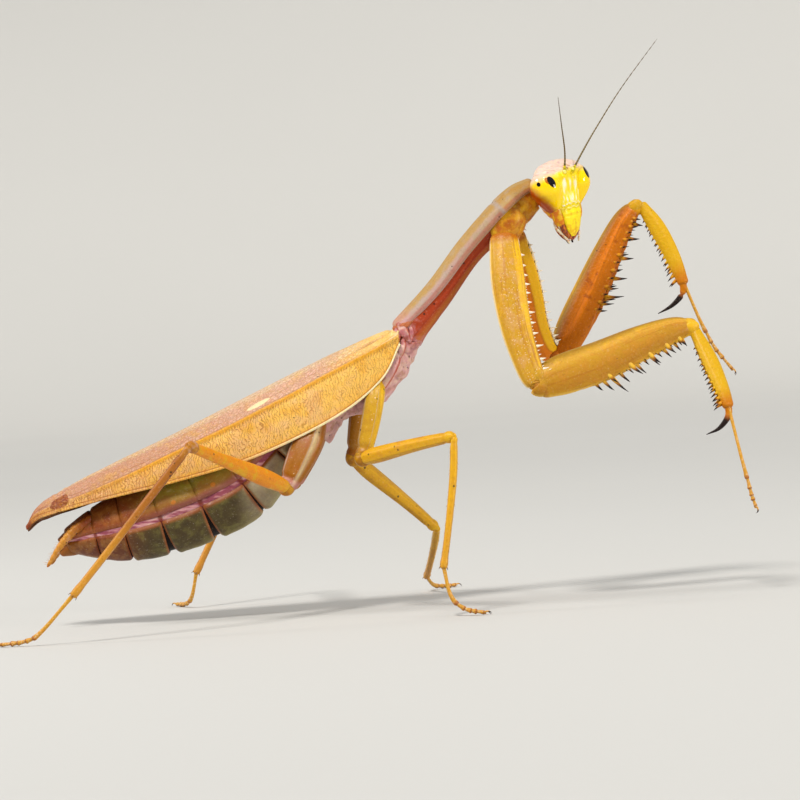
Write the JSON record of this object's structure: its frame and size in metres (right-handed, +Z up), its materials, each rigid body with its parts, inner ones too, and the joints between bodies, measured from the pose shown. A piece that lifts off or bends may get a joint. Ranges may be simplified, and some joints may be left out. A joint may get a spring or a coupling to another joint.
{
  "type": "praying mantis",
  "caption": "Still life-size praying mantis standing on four legs, body raised at the front, wings folded over the back and the two grasping legs held forward.",
  "frame": {"origin": "middle of the model's outline seen from above, at the height of the ground under the feet", "axes": "+X the way the animal faces, +Y its left side, +Z up"},
  "size_m": [0.1012, 0.0644, 0.0764],
  "materials": {
    "shield": "satin horn",
    "flesh": "matt skin",
    "abdomen": "satin horn",
    "wing": "satin, netted with veins",
    "hindwing": "thin dark membrane",
    "head": "smooth horn",
    "eye": "glossy",
    "mouth": "glossy horn",
    "feeler": "matt horn",
    "foreleg": "smooth horn",
    "leg": "smooth horn",
    "foot": "smooth horn"
  },
  "bodies": {
    "root": {"abdomen_1": "abdomen", "abdomen_2": "abdomen", "abdomen_3": "abdomen", "abdomen_4": "abdomen", "abdomen_5": "abdomen", "abdomen_6": "abdomen", "abdomen_7": "abdomen", "antenna_left": "feeler", "antenna_right": "feeler", "cercus_left": "leg", "cercus_right": "leg", "eye_left": "eye", "eye_right": "eye", "foreleg_left_coxa": "foreleg", "foreleg_left_femur": "foreleg", "foreleg_left_tarsus": "foot", "foreleg_left_tibia": "foreleg", "foreleg_right_coxa": "foreleg", "foreleg_right_femur": "foreleg", "foreleg_right_tarsus": "foot", "foreleg_right_tibia": "foreleg", "forewing_left": "wing", "forewing_right": "wing", "head": "head", "hindleg_left_coxa": "leg", "hindleg_left_femur": "leg", "hindleg_left_tarsus": "foot", "hindleg_left_tibia": "leg", "hindleg_right_coxa": "leg", "hindleg_right_femur": "leg", "hindleg_right_tarsus": "foot", "hindleg_right_tibia": "leg", "hindwing_left": "hindwing", "hindwing_right": "hindwing", "mesothorax": "flesh", "metathorax": "flesh", "midleg_left_coxa": "leg", "midleg_left_femur": "leg", "midleg_left_tarsus": "foot", "midleg_left_tibia": "leg", "midleg_right_coxa": "leg", "midleg_right_femur": "leg", "midleg_right_tarsus": "foot", "midleg_right_tibia": "leg", "mouthparts": "mouth", "neck": "flesh", "palp_left": "mouth", "palp_right": "mouth", "pronotum": "shield", "prothorax": "flesh"}
  },
  "joints": []
}
